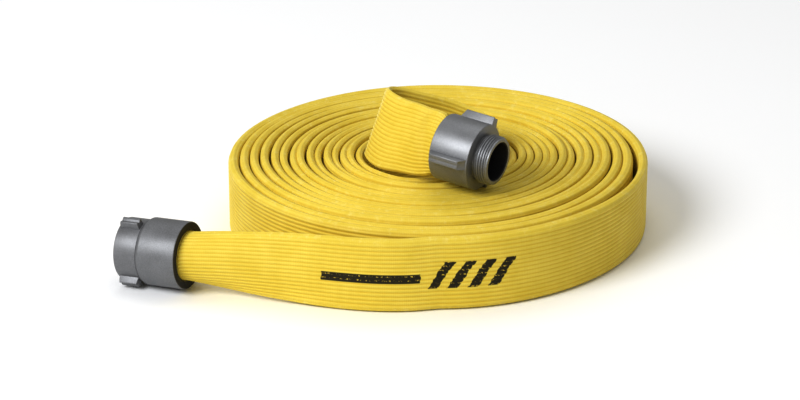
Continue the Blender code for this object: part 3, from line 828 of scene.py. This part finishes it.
def female_shells():
    """The female coupling's bowl and its swivel ring."""
    body = bmesh.new()
    profile = rounded([
        (0.0268, 0.0525, 0.0004), *race_groove(94, 266), (0.0268, 0.0435, 0.0003),
        (SWIVEL_RADIUS, 0.0437, 0.0003), (BOWL_RADIUS, 0.0402, 0.0016), (BOWL_RADIUS, 0.0, 0.0014),
        (MOUTH_RADIUS, 0.0, 0.0005), (POCKET_RADIUS, MOUTH_DEPTH, 0.0004),
        (POCKET_RADIUS, FEMALE_POCKET, 0.0003), (WATERWAY_RADIUS, FEMALE_POCKET, 0.0003),
        (WATERWAY_RADIUS, 0.0525, 0.0003),
    ], SHELL_STEPS)
    lathe(body, profile, painted_shade_slots(FEMALE_POCKET))
    place = frame_of(FEMALE_REAR, FEMALE_AXIS)
    bmesh.ops.transform(body, matrix=place, verts=body.verts)
    bowl = piece("female_bowl_shell", body, [FEMALE_METAL, PAINTED_SHADE_METAL], SHELL_SMOOTH)
    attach(bowl, "hose")
    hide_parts("female_bowl")

    body = bmesh.new()
    profile = rounded([
        (SWIVEL_RADIUS, 0.0685, 0.0013), (SWIVEL_RADIUS, 0.0440, 0.0002), (0.0271, 0.0440, 0.0002),
        *race_groove(-86, 86), (0.0271, 0.0562, 0.0002), (0.0262, 0.0562, 0.0), (0.0262, 0.0670, 0.0),
        (0.0272, 0.0685, 0.0005),
    ], SHELL_STEPS)
    lathe(body, profile)
    thread_band(body, start=0.0563, end=0.0676, minor=0.0240, major=0.0256, plain=0.0266)
    for i in range(LUG_COUNT):
        angle = FEMALE_LUG_ANGLE + math.tau * i / LUG_COUNT
        lug(body, SWIVEL_RADIUS, LUG_RISE - SWIVEL_LUG_LOWER, angle, **SWIVEL_LUG)
    bmesh.ops.transform(body, matrix=place, verts=body.verts)
    ring = piece("female_swivel_ring", body, [SWIVEL_METAL], SHELL_SMOOTH)
    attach(ring, "swivel")
    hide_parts("female_swivel")
    return bowl, ring


# ---------------------------------------------------------------- camera, floor and light
def make_camera():
    """The camera, at the photograph's angle."""
    data = bpy.data.cameras.new("camera")
    data.lens = CAMERA_LENS
    data.sensor_width = CAMERA_SENSOR
    obj = bpy.data.objects.new("camera", data)
    obj.location = ROLL_AXIS + CAMERA_FROM_AXIS
    obj.rotation_euler = (math.pi / 2 - CAMERA_DOWN, 0.0, 0.0)
    bpy.context.scene.collection.objects.link(obj)
    bpy.context.scene.camera = obj


def area_light(name, place, target, size, power, colour):
    """A round soft light that faces a point."""
    data = bpy.data.lights.new(name, "AREA")
    data.shape = "DISK"
    data.size = size
    data.energy = power
    data.color = colour
    obj = bpy.data.objects.new(name, data)
    obj.location = place
    obj.rotation_euler = (Vector(target) - Vector(place)).to_track_quat("-Z", "Y").to_euler()
    bpy.context.scene.collection.objects.link(obj)


def make_studio():
    """A plain pale floor, soft light and an even sky."""
    m = Nodes("studio_floor")
    place = m.add("ShaderNodeTexCoord").outputs["Object"]
    tone = m.mix(m.noise(place, 2.0, 2.0), rgb(0.955, 0.955, 0.955), rgb(0.97, 0.97, 0.97))
    m.put(m.shader.inputs["Base Color"], tone)
    m.shader.inputs["Roughness"].default_value = 0.9
    m.shader.inputs["Specular IOR Level"].default_value = 0.1
    body = bmesh.new()
    bmesh.ops.create_grid(body, x_segments=2, y_segments=2, size=FLOOR_SIZE)
    bmesh.ops.translate(body, verts=body.verts, vec=(0.0, 0.0, FLOOR_Z))
    floor = piece("studio_floor", body, [m.material], FLOOR_SMOOTH)

    for name, settings in LIGHTS.items():
        area_light(name, *settings)

    world = bpy.data.worlds.new("studio")
    world.use_nodes = True
    sky = world.node_tree.nodes["Background"].inputs
    sky["Color"].default_value = SKY_COLOUR
    sky["Strength"].default_value = SKY_STRENGTH
    bpy.context.scene.world = world
    bpy.context.scene.view_settings.view_transform = "Standard"
    bpy.context.scene.view_settings.gamma = GAMMA


make_camera()

# ---------------------------------------------------------------- the hose
tail = respaced(tail_rows(), SPACINGS["tail"])
first_turn = respaced(turns_between(0.0, OUTER_END), SPACINGS["first turn"])
outer_rows = np.vstack([tail, first_turn[1:]])
wound_a = respaced(turns_between(OUTER_END, MIDDLE_SPLIT), SPACINGS["wound outer"])
wound_b = respaced(turns_between(MIDDLE_SPLIT, INNER_START), SPACINGS["wound inner"])
last_turn = respaced(turns_between(INNER_START, TURNS), SPACINGS["last turn"])
lead = respaced(lead_rows(), SPACINGS["lead"])
inner_rows = np.vstack([last_turn, lead[1:]])


def length_of(rows):
    """Length of a run of the hose."""
    return float(lengths_along(rows)[-1])


outer_length = length_of(outer_rows)
wound_a_length = length_of(wound_a)
wound_b_length = length_of(wound_b)
wound_b_start = outer_length + wound_a_length
inner_start = wound_b_start + wound_b_length

# The hose is worn pale where its inner end folds over on itself: at the leftmost of its high rows.
not_high = 2.0 * (inner_rows[:, 2] < FOLD_ABOVE)
fold_row = int(np.argmin(inner_rows[:, 0] + not_high))
HOSE = hose_material(inner_start + float(lengths_along(inner_rows)[fold_row]))

outer_run = hose_piece("hose_outer_run", outer_rows, FINE, 0.0,
                       -FEMALE_AXIS, spiral_direction(OUTER_END), open_first=True)
wound_outer = hose_piece("hose_wound_outer", wound_a, COARSE, outer_length,
                         spiral_direction(OUTER_END), spiral_direction(MIDDLE_SPLIT))
wound_inner = hose_piece("hose_wound_inner", wound_b, COARSE, wound_b_start,
                         spiral_direction(MIDDLE_SPLIT), spiral_direction(INNER_START))
inner_run = hose_piece("hose_inner_run", inner_rows, FINE, inner_start,
                       spiral_direction(INNER_START), MALE_AXIS, open_last=True)

for part in (outer_run, wound_outer, wound_inner, inner_run):
    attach(part, "hose")
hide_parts("hose_tail")
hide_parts("hose_roll")
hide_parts("hose_lead")

male = male_shell()
female_bowl, female_ring = female_shells()

# ---------------------------------------------------------------- the CAD pieces that are kept
# A word in the piece's name, and the material it takes.
KEPT = {
    "hose_end": HOSE, "tail_gasket": RUBBER, "swivel_gasket": RUBBER,
    "expansion_ring": BRASS, "ball_plug": STEEL, "bearing_ball": STEEL,
}
for name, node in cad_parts.items():
    for word, look in KEPT.items():
        if word in name:
            node.data.materials.clear()
            node.data.materials.append(look)

make_studio()
